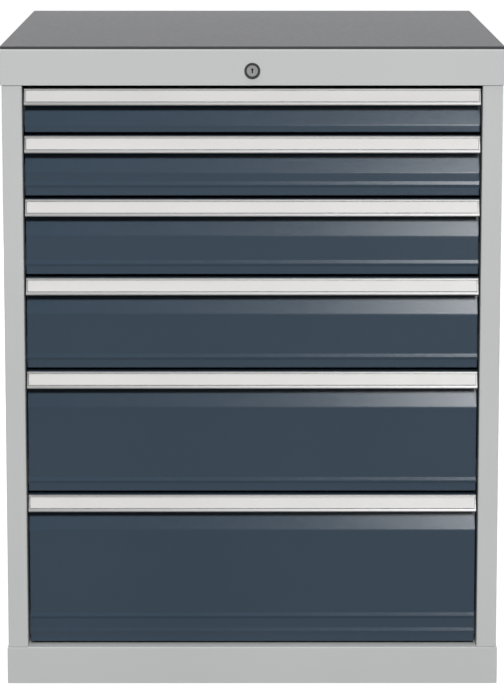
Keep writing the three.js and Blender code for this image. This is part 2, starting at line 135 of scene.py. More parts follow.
# Flange of a handle, behind its lip and its wall; it takes the front's dark paint, which is also
# painted shade there
FLANGE_START = 15.0 * MM

# Label paper on its carrier, whose grey margins above and below the paper are painted shade along the
# lips
PAPER_MARGIN = 1.5 * MM
PAPER_END = 0.8 * MM
PAPER_THICKNESS = 0.25 * MM
PAPER_LIFT = 0.02 * MM
CORNER_DECIMALS = 5

# Camera
CAMERA_PLACE = (-0.0052, -4.868, 1.416)
CAMERA_PITCH = math.radians(8.76)
CAMERA_YAW = math.radians(0.06)
CAMERA_LENS = 149.5
CAMERA_SHIFT = -0.16
CAMERA_REACH = 200.0
SENSOR = 36.0

# Studio lights and floor
FRONT_MIDDLE = (0, -0.37, 0.5)
FRONT_FOOT = (0, -0.37, 0.3)
KEY_PLACE = (0.3, -10.0, 5.95)
KEY_SIZE = (2.4, 1.2)
TOP_PLACE = (0, -0.6, 4.5)
TOP_TARGET = (0, -0.6, 0)
TOP_SIZE = (2.0, 2.0)
GLOSS_PLACE = (1.25, -3.4, 2.08)
GLOSS_SIZE = (0.9, 0.9)
GLOSS_EDGE_PLACE = (0.62, -3.4, 2.08)
GLOSS_EDGE_SIZE = (0.5, 0.9)
GLOSS_FOOT_PLACE = (1.25, -3.4, 1.14)
GLOSS_FOOT_SIZE = (0.9, 0.98)
BACK_PLACE = (0, 4.0, 1.7)
BACK_TARGET = (0, 0, 1.0)
BACK_SIZE = (7.0, 3.4)
REAR_PLACE = (0, 4.0, 2.4)
REAR_TARGET = (0, 0.3, 0.5)
REAR_SIZE = (4.0, 1.6)
SIDE_PLACES = {"left": (-3.4, 0.9, 1.6), "right": (3.4, 0.9, 1.6)}
SIDE_TARGET = (0, 0.1, 0.5)
SIDE_SIZE = (2.0, 2.4)
FLOOR_HALF_WIDTH = 40.0
# Reach over which the floor's glow rises from its lower value near the object, a painted shade, to
# full white
FLOOR_SHADE_START = 0.6
FLOOR_SHADE_END = 2.0

# Noises of the finishes, in cells to the metre
PAINT_CLOUDS = 2.5
PAINT_MOTTLE = 60.0
GLOSS_MOTTLE = 160.0
PAINT_PEEL = 260.0
PAINT_GRAIN = 1100.0
METAL_TONES = 25.0
METAL_SHEEN = 60.0
FINE_LINES = 1800.0
ZINC_LINES = 700.0
TURNED_LINES = 900.0
FILM_TONES = 6.0
FILM_WAVES = 30.0
PLASTIC_TONES = 12.0
PLASTIC_SHEEN = 40.0
MAT_CLOUDS = 5.0
MAT_SHEEN = 90.0
MAT_COARSE_GRAIN = 900.0
MAT_FINE_GRAIN = 2600.0

# Shares of a noise's scale along each axis: even, and drawn out along X or Y
EVEN = (1, 1, 1)
ALONG_X = (0.02, 1, 1)
ALONG_Y = (1, 0.02, 1)
FILM_STRETCH = (0.2, 1, 1)

# Middle part of a noise that is spread over a finish's range
NOISE_LOW = 0.3
NOISE_HIGH = 0.7


# Finishes

def new_finish(name, **sockets):
    """A material whose shader has these values on its own sockets."""
    finish = bpy.data.materials.new(name)
    finish.use_nodes = True
    shader = finish.node_tree.nodes["Principled BSDF"]
    for socket, value in sockets.items():
        shader.inputs[socket.replace("_", " ")].default_value = value
    return finish


def add_node(finish, kind, **settings):
    node = finish.node_tree.nodes.new(kind)
    for setting, value in settings.items():
        setattr(node, setting, value)
    return node


def link(finish, source, target):
    finish.node_tree.links.new(source, target)


def noise(finish, scale, stretch=EVEN, detail=2.0):
    """Noise with that many cells to the metre, stretched along the axes whose share is small."""
    place = add_node(finish, "ShaderNodeTexCoord")
    mapping = add_node(finish, "ShaderNodeMapping")
    mapping.inputs["Scale"].default_value = stretch
    cells = add_node(finish, "ShaderNodeTexNoise")
    cells.inputs["Scale"].default_value = scale
    cells.inputs["Detail"].default_value = detail
    link(finish, place.outputs["Object"], mapping.inputs["Vector"])
    link(finish, mapping.outputs["Vector"], cells.inputs["Vector"])
    return cells.outputs["Fac"]


def set_range(ramp, given, wanted):
    """Sets a Map Range node to take one range to another."""
    for socket, value in zip(("From Min", "From Max", "To Min", "To Max"), (*given, *wanted)):
        ramp.inputs[socket].default_value = value


def spread(finish, factor, low, high):
    """Spreads the middle of a noise over low to high."""
    ramp = add_node(finish, "ShaderNodeMapRange", interpolation_type="SMOOTHSTEP")
    set_range(ramp, (NOISE_LOW, NOISE_HIGH), (low, high))
    link(finish, factor, ramp.inputs["Value"])
    return ramp.outputs["Result"]


def vary_colour(finish, factor, dark, light):
    mix = add_node(finish, "ShaderNodeMix", data_type="RGBA")
    colours = [socket for socket in mix.inputs if socket.type == "RGBA"]
    colours[0].default_value = (*dark, 1)
    colours[1].default_value = (*light, 1)
    link(finish, spread(finish, factor, 0, 1), mix.inputs["Factor"])
    result = [socket for socket in mix.outputs if socket.type == "RGBA"][0]
    shader = finish.node_tree.nodes["Principled BSDF"]
    link(finish, result, shader.inputs["Base Color"])


def vary_roughness(finish, factor, low, high):
    shader = finish.node_tree.nodes["Principled BSDF"]
    link(finish, spread(finish, factor, low, high), shader.inputs["Roughness"])


def raise_grain(finish, factor, strength, height, below=None):
    """Bumps the surface by a noise, on top of another bump where one is given."""
    bump = add_node(finish, "ShaderNodeBump")
    bump.inputs["Strength"].default_value = strength
    bump.inputs["Distance"].default_value = height
    link(finish, factor, bump.inputs["Height"])
    if below:
        link(finish, below, bump.inputs["Normal"])
    shader = finish.node_tree.nodes["Principled BSDF"]
    link(finish, bump.outputs["Normal"], shader.inputs["Normal"])
    return bump.outputs["Normal"]


def powder_coat(name, dark, light, rough, gloss, mottle=PAINT_MOTTLE):
    """Baked powder paint: fine orange peel, soft clouds in its colour and a mottle in its gloss."""
    finish = new_finish(name, Specular_IOR_Level=gloss)
    vary_colour(finish, noise(finish, PAINT_CLOUDS, detail=4.0), dark, light)
    vary_roughness(finish, noise(finish, mottle, detail=3.0), *rough)
    waves = raise_grain(finish, noise(finish, PAINT_PEEL, detail=1.0), strength=0.05, height=0.1 * MM)
    raise_grain(finish, noise(finish, PAINT_GRAIN), strength=0.12, height=0.05 * MM, below=waves)
    return finish


def drawn_metal(name, dark, light, rough, stretch, lines, metallic=1.0, strength=0.15):
    """Metal with fine lines along the axis whose share in stretch is small."""
    finish = new_finish(name, Metallic=metallic)
    vary_colour(finish, noise(finish, METAL_TONES, stretch), dark, light)
    vary_roughness(finish, noise(finish, METAL_SHEEN, stretch), *rough)
    raise_grain(finish, noise(finish, lines, stretch), strength, height=0.02 * MM)
    return finish


def printed_film(name, dark, light):
    """A thin white film with a weak coat, which lies in long low waves."""
    finish = new_finish(name, Coat_Weight=0.08, Coat_Roughness=0.3, Specular_IOR_Level=0.2)
    vary_colour(finish, noise(finish, FILM_TONES), dark, light)
    vary_roughness(finish, noise(finish, PLASTIC_SHEEN), low=0.40, high=0.50)
    raise_grain(finish, noise(finish, FILM_WAVES, FILM_STRETCH), strength=0.08, height=0.2 * MM)
    return finish


def smooth_plastic(name, dark, light):
    """Half-gloss plastic without a grain."""
    finish = new_finish(name, Specular_IOR_Level=0.4)
    vary_colour(finish, noise(finish, PLASTIC_TONES), dark, light)
    vary_roughness(finish, noise(finish, PLASTIC_SHEEN), low=0.35, high=0.45)
    return finish


def grained_rubber(name, dark, light):
    """Matt rubber with a coarse and a fine grain."""
    finish = new_finish(name, Specular_IOR_Level=0.5)
    vary_colour(finish, noise(finish, MAT_CLOUDS, detail=4.0), dark, light)
    vary_roughness(finish, noise(finish, MAT_SHEEN), low=0.45, high=0.49)
    coarse = raise_grain(finish, noise(finish, MAT_COARSE_GRAIN), strength=0.10, height=0.05 * MM)
    raise_grain(finish, noise(finish, MAT_FINE_GRAIN), strength=0.15, height=0.02 * MM, below=coarse)
    return finish


housing_paint = powder_coat(
    "housing_paint",
    dark=(0.515, 0.528, 0.523),
    light=(0.530, 0.543, 0.538),
    rough=(0.42, 0.50),
    gloss=0.4,
)
front_paint = powder_coat(
    "front_paint",
    dark=(0.0355, 0.0568, 0.0815),
    light=(0.0385, 0.0605, 0.0865),
    rough=(0.19, 0.23),
    gloss=0.5,
    mottle=GLOSS_MOTTLE,
)
box_paint = powder_coat(
    "box_paint",
    dark=(0.48, 0.494, 0.488),
    light=(0.505, 0.519, 0.513),
    rough=(0.45, 0.55),
    gloss=0.4,
)
handle_metal = drawn_metal(
    "handle_metal",
    dark=(0.41, 0.41, 0.41),
    light=(0.46, 0.46, 0.46),
    rough=(0.46, 0.54),
    stretch=ALONG_X,
    lines=FINE_LINES,
    metallic=0.6,
)
rail_zinc = drawn_metal(
    "rail_zinc",
    dark=(0.50, 0.53, 0.56),
    light=(0.62, 0.64, 0.66),
    rough=(0.28, 0.42),
    stretch=ALONG_Y,
    lines=ZINC_LINES,
)
lock_ring = drawn_metal(
    "lock_ring",
    dark=(0.050, 0.051, 0.051),
    light=(0.075, 0.076, 0.075),
    rough=(0.22, 0.32),
    stretch=EVEN,
    lines=TURNED_LINES,
    metallic=0.2,
)
lock_face = drawn_metal(
    "lock_face",
    dark=(0.32, 0.32, 0.32),
    light=(0.50, 0.50, 0.495),
    rough=(0.34, 0.44),
    stretch=EVEN,
    lines=TURNED_LINES,
    metallic=0.35,
    strength=0.3,
)
# Near-black finish for the keyhole's walls: painted shade in the hole
keyway_shade_paint = drawn_metal(
    "keyway_shade_paint",
    dark=(0.008, 0.008, 0.008),
    light=(0.014, 0.014, 0.014),
    rough=(0.5, 0.6),
    stretch=ALONG_Y,
    lines=FINE_LINES,
)
label_film = printed_film("label_film", dark=(0.607, 0.600, 0.588), light=(0.632, 0.625, 0.613))
# Grey carrier under the label paper: its margins by the lips are painted shade
label_carrier_shade = smooth_plastic("label_carrier_shade", dark=(0.20, 0.20, 0.205), light=(0.25, 0.25, 0.255))
mat_rubber = grained_rubber("mat_rubber", dark=(0.062, 0.063, 0.068), light=(0.067, 0.068, 0.073))


# Handling of pieces

def make_active(piece):
    bpy.ops.object.select_all(action="DESELECT")
    piece.select_set(True)
    bpy.context.view_layer.objects.active = piece


def finish_piece(piece, finish, slot, body, *nodes):
    """Paints a piece, sets it on its body and lets it stand for CAD nodes."""
    piece.data.materials.clear()
    piece.data.materials.append(finish)
    if nodes:
        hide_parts(*nodes)
    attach(piece, body)
    return piece


def apply_modifiers(piece):
    make_active(piece)
    for modifier in list(piece.modifiers):
        bpy.ops.object.modifier_apply(modifier=modifier.name)


def shared_run(first, second):
    """The edges that two faces share, if they make one unbroken run."""
    shared = [edge for edge in first.edges if second in edge.link_faces]
    points = {point for edge in shared for point in edge.verts}
    return shared if len(points) == len(shared) + 1 else []


def join_flat_faces(mesh):
    """Joins faces in one plane, longest edge first. A ring stays cut across at its short edges."""
    flat = [edge for edge in mesh.edges if edge.calc_face_angle(math.pi) < SAME_PLANE]
    for edge in sorted(flat, key=lambda edge: -edge.calc_length()):
        if edge.is_valid and len(edge.link_faces) == 2 and shared_run(*edge.link_faces):
            bmesh.utils.face_join(list(edge.link_faces), True)
    spare = [point for point in mesh.verts if len(point.link_edges) == 2]
    bmesh.ops.dissolve_verts(mesh, verts=spare)


def merged_copy(node, name):
    """A copy of a CAD node's mesh with its loose triangles joined into whole faces."""
    piece = bpy.data.objects.new(name, frame["nodes"][node].data.copy())
    bpy.context.scene.collection.objects.link(piece)
    make_active(piece)
    bpy.ops.mesh.customdata_custom_splitnormals_clear()
    mesh = bmesh.new()
    mesh.from_mesh(piece.data)
    bmesh.ops.remove_doubles(mesh, verts=mesh.verts, dist=SAME_POINT)
    join_flat_faces(mesh)
    mesh.to_mesh(piece.data)
    mesh.free()
    return piece


def width_from(loop):
    """The least width of a face beside one of its edges, or the length of an edge square to it."""
    start, end = loop.vert.co, loop.link_loop_next.vert.co
    length = (end - start).length
    along = (end - start).normalized()
    inward = loop.face.normal.cross(along)
    neighbours = (loop.link_loop_prev, loop.link_loop_next)
    widths = [WIDEST]
    for other in loop.face.loops:
        if other is loop or other.edge.calc_face_angle(math.pi) < SAME_PLANE:
            continue
        first, second = other.vert.co - start, other.link_loop_next.vert.co - start
        run = second - first
        if other in neighbours:
            if abs(run.normalized().dot(along)) < SQUARE_ENOUGH:
                widths.append(run.length)
            continue
        low, high = sorted((first.dot(along), second.dot(along)))
        if min(high, length) - max(low, 0) < SAME_POINT:
            continue
        for place in (max(low, 0), min(high, length)):
            width = first.lerp(second, (place - first.dot(along)) / run.dot(along)).dot(inward)
            if width > SAME_POINT:
                widths.append(width)
    return min(widths)


def edge_radius(edge, outer, inner):
    """The radius of an edge: the fold's on wide faces, a share of the thickness on thin ones."""
    if len(edge.link_loops) != 2:
        return 0
    bend = edge.calc_face_angle_signed()
    width = min(width_from(loop) for loop in edge.link_loops)
    least = LEAST_BEND if width > SHORT_FACE else LEAST_SHORT_BEND
    if abs(bend) < least:
        return 0
    return min(outer if bend > 0 else inner, EDGE_SHARE * width)


def round_edges(piece, outer, inner):
    """Rounds the folds and breaks the sheet's edges."""
    mesh = bmesh.new()
    mesh.from_mesh(piece.data)
    weights = mesh.edges.layers.float.new("bevel_weight_edge")
    for edge in mesh.edges:
        edge[weights] = edge_radius(edge, outer, inner) / outer
    mesh.to_mesh(piece.data)
    mesh.free()
    bevel = piece.modifiers.new("rounding", "BEVEL")
    bevel.limit_method = "WEIGHT"
    bevel.width = outer
    bevel.segments = ROUNDING_STEPS
    bevel.use_clamp_overlap = False
    even = piece.modifiers.new("even_normals", "WEIGHTED_NORMAL")
    even.keep_sharp = True
    make_active(piece)
    bpy.ops.object.shade_smooth_by_angle(angle=SMOOTH_UNDER)
    apply_modifiers(piece)


# Housing, drawers, slides and lock: the CAD solids with their folds rounded

body_of = {
    node: body
    for body, members in frame["record"]["behaviour"]["bodies"].items()
    for node in members
}


def folded(node, finish, slot, fold):
    """The piece that stands for a CAD node: the same shape with rounded folds and broken edges."""
    piece = merged_copy(node, f"{node}_finished")
    round_edges(piece, fold, max(fold - HOUSING_SHEET, EDGE_SHARE * fold))
    return finish_piece(piece, finish, slot, body_of[node], node)


def paint_keyway_shade(plug):
    """Gives the walls of the keyhole a near-black metal, as painted shade for the dark that lies in
    the hole.
    """
    plug.data.materials.append(keyway_shade_paint)
    low, high = (Vector(corner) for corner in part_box("lock_plug"))
    for face in plug.data.polygons:
        off_axis = (face.center - (low + high) / 2).xz.length
        inside = face.center.y > low.y + KEYWAY_RIM and off_axis < KEYWAY_REACH
        if inside and face.normal.y < SQUARE_ENOUGH:
            face.material_index = 1


def paint_flange_shade(handle, number):
    """Paints a handle's flange like the front it lies on; this dark paint also stands in for the
    shade behind the lip, as painted shade.
    """
    handle.data.materials.append(front_paint)
    flange_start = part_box(f"handle_{number}")[0][1] + FLANGE_START
    for face in handle.data.polygons:
        if face.center.y > flange_start:
            face.material_index = 1


for housing_node in ("side_panel_left", "side_panel_right", "back_panel", "plinth", "floor_panel"):
    folded(housing_node, housing_paint, "housing_paint", FOLD)
folded("top_cover", housing_paint, "housing_paint", COVER_FOLD)
folded("top_mat", mat_rubber, "mat_rubber", MAT_EDGE)
folded("rear_post", rail_zinc, "zinc_steel", RAIL_FOLD)
folded("lock_housing", lock_ring, "lock_chrome", TURNED_EDGE)
lock_plug = folded("lock_plug", lock_face, "lock_chrome", TURNED_EDGE)
# The keyhole's walls get a near-black finish as painted shade.
paint_keyway_shade(lock_plug)
folded("lock_shaft", rail_zinc, "zinc_steel", TURNED_EDGE)
folded("lock_bar", rail_zinc, "zinc_steel", BAR_EDGE)
for number in DRAWERS:
    folded(f"drawer_front_{number}", front_paint, "front_paint", FRONT_FOLD)
    handle = folded(f"handle_{number}", handle_metal, "handle_aluminium", HANDLE_EDGE)
    # The flange behind the lip gets the front's dark paint, which is also painted shade.
    paint_flange_shade(handle, number)
    # The label's carrier is grey, as painted shade at the paper's margins.
    folded(f"label_strip_{number}", label_carrier_shade, "label_film", LABEL_EDGE)
    for side in SIDES:
        folded(f"slide_outer_{side}_{number}", rail_zinc, "zinc_steel", RAIL_FOLD)
        folded(f"slide_middle_{side}_{number}", rail_zinc, "zinc_steel", RAIL_FOLD)


# Modelling of new pieces

def set_down(piece):
    """Puts a piece's place, turn and size into its mesh."""
    make_active(piece)
    bpy.ops.object.transform_apply(location=True, rotation=True, scale=True)
    return piece


def start_plane(name, width, depth, place, turn=(0, 0, 0)):
    """A plane of that width and depth, turned about its middle and set at its place."""
    bpy.ops.object.select_all(action="DESELECT")
    bpy.ops.mesh.primitive_plane_add(size=1)
    piece = bpy.context.active_object
    piece.name = name
    piece.scale = (width, depth, 1)
    piece.rotation_euler = turn
    piece.location = place
    return set_down(piece)


def own_copy(piece, name):
    """A copy of a piece with its own mesh."""
    copy = piece.copy()
    copy.data = piece.data.copy()
    copy.name = name
    bpy.context.scene.collection.objects.link(copy)
    return copy


def join_pieces(first, *others):
    make_active(first)
    for other in others:
        other.select_set(True)
    bpy.ops.object.join()
    return first


def edit_faces(piece, wanted):
    """Opens a piece with those faces selected whose middle the test wants."""
    make_active(piece)
    bpy.context.scene.tool_settings.mesh_select_mode = (False, False, True)
    bpy.ops.object.mode_set(mode="EDIT")
    bpy.ops.mesh.select_all(action="DESELECT")
    bpy.ops.object.mode_set(mode="OBJECT")
    for face in piece.data.polygons:
        face.select = wanted(face.center)
    bpy.ops.object.mode_set(mode="EDIT")


def edit_edges(piece, wanted):
    """Opens a piece with those edges selected whose two ends the test wants."""
    make_active(piece)
    bpy.context.scene.tool_settings.mesh_select_mode = (False, True, False)
    bpy.ops.object.mode_set(mode="EDIT")
    bpy.ops.mesh.select_all(action="DESELECT")
    bpy.ops.object.mode_set(mode="OBJECT")
    points = piece.data.vertices
    for edge in piece.data.edges:
        edge.select = wanted(*(points[index].co for index in edge.vertices))
    bpy.ops.object.mode_set(mode="EDIT")


def close_edit():
    bpy.ops.object.mode_set(mode="OBJECT")


def near(value, target):
    return abs(value - target) < SAME_POINT


def at_place(**place):
    """A test for edges whose two ends lie at a place, given along the axes that matter."""
    def wanted(*ends):
        return all(near(getattr(end, axis), value) for end in ends for axis, value in place.items())

    return wanted


def any_face(middle):
    """The test for faces that wants every one."""
    return True


def pull(offset):
    """Extrudes the selected edges or faces by an offset."""
    bpy.ops.mesh.extrude_region_move(TRANSFORM_OT_translate={"value": offset})


def repeat(piece, count, step):
    """Repeats a piece a step apart and joins the points that meet."""
    array = piece.modifiers.new("repeat", "ARRAY")
    array.count = count
    array.use_relative_offset = False
    array.use_constant_offset = True
    array.constant_offset_displace = step
    array.use_merge_vertices = True
    array.merge_threshold = SAME_POINT


def thicken(piece, thickness, side=1):
    """Gives a sheet its thickness, outwards for side 1 and inwards for side -1."""
    sheet = piece.modifiers.new("sheet", "SOLIDIFY")
    sheet.thickness = thickness
    sheet.offset = side
    sheet.use_even_offset = True
    apply_modifiers(piece)
    bpy.ops.object.shade_smooth_by_angle(angle=SMOOTH_UNDER)
    return piece


# Drawer boxes

def slotted_wall(name, columns, rows, place, turn):
    """A wall with a slot in each square of the grid. It faces the front before it is turned."""
    wall = start_plane(name, GRID, SLOT_ROW, (0, 0, 0), (math.pi / 2, 0, 0))
    edit_faces(wall, any_face)
    bpy.ops.mesh.inset(thickness=(GRID - SLOT_WIDTH) / 2)
    bpy.ops.mesh.bevel(offset=SLOT_ROUND, segments=SLOT_STEPS, affect="VERTICES")
    close_edit()
    edit_faces(wall, lambda middle: middle.length < SLOT_ROUND)
    bpy.ops.mesh.delete(type="FACE")
    close_edit()
    repeat(wall, columns, (GRID, 0, 0))
    repeat(wall, rows, (0, 0, -SLOT_ROW))
    apply_modifiers(wall)
    wall.location = (-(columns - 1) * GRID / 2, 0, 0)
    set_down(wall)
    wall.rotation_euler = (0, 0, turn)
    wall.location = place
    return set_down(wall)


def turn_out_rim(tray, side, half, fold_start):
    """Pulls a side wall's top edge round a quarter turn and then outwards."""
    edge_x, edge_z = side * half, fold_start
    for step in range(1, RIM_STEPS + 2):
        turn = min(step, RIM_STEPS) / RIM_STEPS * math.pi / 2
        target_x = side * (half + RIM_FOLD * (1 - math.cos(turn)))
        target_z = fold_start + RIM_FOLD * math.sin(turn)
        if step > RIM_STEPS:
            target_x = side * (half + BOX_SHEET + RIM_REACH)
        edit_edges(tray, at_place(x=edge_x, z=edge_z))
        pull((target_x - edge_x, 0, target_z - edge_z))
        close_edit()
        edge_x, edge_z = target_x, target_z


def box_tray(number):
    """A sheet tray: four slotted walls, a floor, and rims turned out at the sides."""
    low, high = (Vector(corner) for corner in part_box(f"drawer_box_{number}"))
    half = INSIDE_HALF_WIDTH
    front = low.y + BOX_SHEET
    back = front + INSIDE_DEPTH
    middle = (front + back) / 2
    floor = low.z + BOX_SHEET
    fold_start = high.z - RIM_FOLD
    wall_top = fold_start - SLOT_MARGIN
    rows = int((wall_top - floor) // SLOT_ROW)
    first = wall_top - SLOT_ROW / 2
    tray = join_pieces(
        slotted_wall(f"drawer_box_{number}_tray", INSIDE_COLUMNS, rows, (0, front, first), 0),
        slotted_wall("wall", INSIDE_ROWS, rows, (half, middle, first), math.pi / 2),
        slotted_wall("wall", INSIDE_COLUMNS, rows, (0, back, first), math.pi),
        slotted_wall("wall", INSIDE_ROWS, rows, (-half, middle, first), -math.pi / 2),
    )
    edit_faces(tray, any_face)
    bpy.ops.mesh.remove_doubles(threshold=SAME_POINT)
    close_edit()
    wall_foot = wall_top - rows * SLOT_ROW
    edit_edges(tray, at_place(z=wall_foot))
    pull((0, 0, floor - wall_foot))
    close_edit()
    edit_edges(tray, at_place(z=floor))
    bpy.ops.mesh.edge_face_add()
    close_edit()
    edit_edges(tray, at_place(z=wall_top))
    pull((0, 0, SLOT_MARGIN))
    close_edit()
    edit_faces(tray, any_face)
    bpy.ops.mesh.normals_make_consistent(inside=False)
    close_edit()

    def at_side(point):
        return near(abs(point.x), half)

    def at_end(point):
        return near(point.y, front) or near(point.y, back)

    def is_fold(a, b):
        corner = all(at_side(point) and at_end(point) for point in (a, b))
        return corner or at_place(z=floor)(a, b)

    def is_end_top(a, b):
        return at_place(z=fold_start)(a, b) and not (at_side(a) and at_side(b))

    edit_edges(tray, is_fold)
    bpy.ops.mesh.bevel(offset=CORNER_FOLD, segments=CORNER_STEPS, clamp_overlap=False)
    close_edit()
    edit_edges(tray, is_end_top)
    pull((0, 0, RIM_FOLD))
    close_edit()
    for side in (-1, 1):
        turn_out_rim(tray, side, half, fold_start)
    thicken(tray, BOX_SHEET)
    return finish_piece(tray, box_paint, "box_paint", f"drawer_{number}", f"drawer_box_{number}")


def box_runner(number, side):
    """The channel on a box's side that the balls run in."""
    name = f"runner_{number}_{SIDES[side > 0]}"
    low, high = (Vector(corner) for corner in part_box(f"drawer_box_{number}"))
    web = INSIDE_HALF_WIDTH + BOX_SHEET + RUNNER_GAP
    front = low.y + RUNNER_SETBACK
    back = low.y + INSIDE_DEPTH + 2 * BOX_SHEET
    height = low.z - BOX_LIFT + RUNNER_LIFT
    place = (side * web, (front + back) / 2, height)
    turn = (0, -side * math.pi / 2, 0)
    runner = start_plane(name, 2 * RUNNER_HALF_HEIGHT, back - front, place, turn)

    def is_rim(a, b):
        return near(a.z, b.z) and near(abs(a.z - height), RUNNER_HALF_HEIGHT)

    def is_fold(a, b):
        return is_rim(a, b) and at_place(x=side * web)(a, b)

    edit_edges(runner, is_rim)
    pull((side * (RUNNER_REACH - RUNNER_GAP), 0, 0))
    close_edit()
    edit_edges(runner, is_fold)
    bpy.ops.mesh.bevel(offset=RUNNER_SHEET + RUNNER_GAP, segments=ROUNDING_STEPS)
    close_edit()
    thicken(runner, RUNNER_SHEET, -1)
    return finish_piece(runner, rail_zinc, "zinc_steel", f"drawer_{number}", f"drawer_box_{number}")


def round_head(name, radius, height, sides, steps):
    """A low dome whose flat lies at the origin and whose crown looks up."""
    bpy.ops.object.select_all(action="DESELECT")
    bpy.ops.mesh.primitive_cylinder_add(vertices=sides, radius=radius, depth=height)
    head = bpy.context.active_object
    head.name = name
    head.location = (0, 0, height / 2)
    set_down(head)
    edit_faces(head, lambda middle: near(middle.z, height))
    bpy.ops.mesh.bevel(offset=CROWN_SHARE * height, segments=steps)
    close_edit()
    return head


def rivet_head(name):
    """A rivet whose crown looks along X."""
    head = round_head(name, RIVET_RADIUS, RIVET_HEIGHT, RIVET_SIDES, RIVET_STEPS)
    head.rotation_euler = (0, math.pi / 2, 0)
    return set_down(head)


def place_copies(model, name, places, turn=(0, 0, 0)):
    """Copies of a model at those places, turned alike and joined into one piece."""
    copies = []
    for place in places:
        copy = own_copy(model, name)
        copy.rotation_euler = turn
        copy.location = place
        copies.append(set_down(copy))
    whole = join_pieces(*copies)
    bpy.ops.object.shade_smooth_by_angle(angle=SMOOTH_UNDER)
    whole.name = name
    return whole


def runner_rivets(number, model):
    """The rivets that hold a box's two runners, as one piece for each runner."""
    low = Vector(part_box(f"drawer_box_{number}")[0])
    face = INSIDE_HALF_WIDTH + BOX_SHEET + RUNNER_GAP + RUNNER_SHEET
    height = low.z - BOX_LIFT + RUNNER_LIFT
    step = INSIDE_DEPTH / RIVETS
    for side, turn in ((-1, math.pi), (1, 0)):
        places = [(side * face, low.y + (index + 0.5) * step, height) for index in range(RIVETS)]
        name = f"runner_rivets_{number}_{SIDES[side > 0]}"
        rivets = place_copies(model, name, places, (0, 0, turn))
        finish_piece(rivets, rail_zinc, "zinc_steel", f"drawer_{number}")


def lock_catch(number):
    """The tongue behind a box, with the lip that the lock's hook stands in front of."""
    low, high = (Vector(corner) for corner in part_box(f"drawer_box_{number}"))
    front = low.y + INSIDE_DEPTH + 2 * BOX_SHEET
    top = high.z + BOX_DROP - CATCH_DROP + CATCH_SHEET
    place = (0, (front + high.y) / 2, top)
    catch = start_plane(f"lock_catch_{number}", 2 * CATCH_HALF_WIDTH, high.y - front, place)
    edit_edges(catch, at_place(y=high.y))
    pull((0, 0, -CATCH_LIP - CATCH_SHEET))
    close_edit()
    edit_edges(catch, at_place(y=high.y, z=top))
    bpy.ops.mesh.bevel(offset=CATCH_FOLD, segments=ROUNDING_STEPS)
    close_edit()
    thicken(catch, CATCH_SHEET, -1)
    return finish_piece(catch, rail_zinc, "zinc_steel", f"drawer_{number}", f"drawer_box_{number}")


def label_paper(number):
    """The white paper on a label strip's carrier, leaning back with it."""
    carrier = bpy.data.objects[f"label_strip_{number}_finished"].data.vertices
    low, high = (Vector(corner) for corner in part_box(f"label_strip_{number}"))
    foot = min((point.co for point in carrier), key=lambda co: (round(co.y, CORNER_DECIMALS), co.z))
    head = max((point.co for point in carrier), key=lambda co: (round(co.z, CORNER_DECIMALS), -co.y))
    lean = math.atan2(head.y - foot.y, head.z - foot.z)
    height = (head - foot).yz.length - 2 * PAPER_MARGIN
    face = Vector((0, -math.cos(lean), math.sin(lean)))
    place = Vector((0, (foot.y + head.y) / 2, (foot.z + head.z) / 2)) + PAPER_LIFT * face
    width = high.x - low.x - 2 * PAPER_END
    paper = start_plane(f"label_paper_{number}", width, height, place, (math.pi / 2 - lean, 0, 0))
    thicken(paper, PAPER_THICKNESS)
    return finish_piece(paper, label_film, "label_film", f"drawer_{number}")


def screw_head(name):
    """A button head with a round socket, whose crown looks back."""
    head = round_head(name, SCREW_RADIUS, SCREW_HEIGHT, SCREW_SIDES, SCREW_STEPS)

    def is_crown(middle):
        return near(middle.z, SCREW_HEIGHT) and middle.xy.length < SAME_POINT

    edit_faces(head, is_crown)
    bpy.ops.mesh.inset(thickness=SCREW_RADIUS - CROWN_SHARE * SCREW_HEIGHT - SCREW_SOCKET)
    pull((0, 0, -SCREW_HEIGHT / 2))
    close_edit()
    head.rotation_euler = (-math.pi / 2, 0, 0)
    return set_down(head)


def back_screws():
    """The screws down both sides of the back panel, as one piece."""
    low, high = (Vector(corner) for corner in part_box("back_panel"))
    step = (high.z - low.z - 2 * SCREW_FIRST) / (SCREWS - 1)
    places = [
        (x, high.y, low.z + SCREW_FIRST + index * step)
        for x in (low.x + SCREW_INSET, high.x - SCREW_INSET)
        for index in range(SCREWS)
    ]
    model = screw_head("screw_model")
    screws = place_copies(model, "back_screws", places)
    bpy.data.objects.remove(model)
    finish_piece(screws, rail_zinc, "zinc_steel", "housing")


rivet_model = rivet_head("rivet_model")
for number in DRAWERS:
    box_tray(number)
    for side in (-1, 1):
        box_runner(number, side)
    runner_rivets(number, rivet_model)
    lock_catch(number)
    label_paper(number)
bpy.data.objects.remove(rivet_model)
back_screws()


# Studio

drawer_faces = [
    f"{name}_{number}_finished" for name in ("drawer_front", "handle") for number in DRAWERS
]
drawer_faces += [f"label_paper_{number}" for number in DRAWERS]


def soft_light(name, place, target, size, radiance, lights="all", only=()):
    """A softbox that faces its target. It lights all, matt or gloss, on all pieces or on a few."""
    lamp = bpy.data.lights.new(name, "AREA")
    lamp.shape = "RECTANGLE"
    lamp.size, lamp.size_y = size
    lamp.energy = radiance * math.pi * lamp.size * lamp.size_y
    light = bpy.data.objects.new(name, lamp)
    light.location = place
    light.rotation_euler = (Vector(target) - Vector(place)).to_track_quat("-Z", "Y").to_euler()
    light.visible_camera = False
    light.visible_glossy = lights != "matt"
    light.visible_diffuse = lights != "gloss"
    if only:
        lit = bpy.data.collections.new(f"{name}_lights")
        light.light_linking.receiver_collection = lit
        for piece in only:
            lit.objects.link(bpy.data.objects[piece])
    bpy.context.scene.collection.objects.link(light)


def gloss_light(name, place, target, size, radiance):
    """A softbox that shows only as gloss on the drawers' faces."""
    soft_light(name, place, target, size, radiance, lights="gloss", only=drawer_faces)


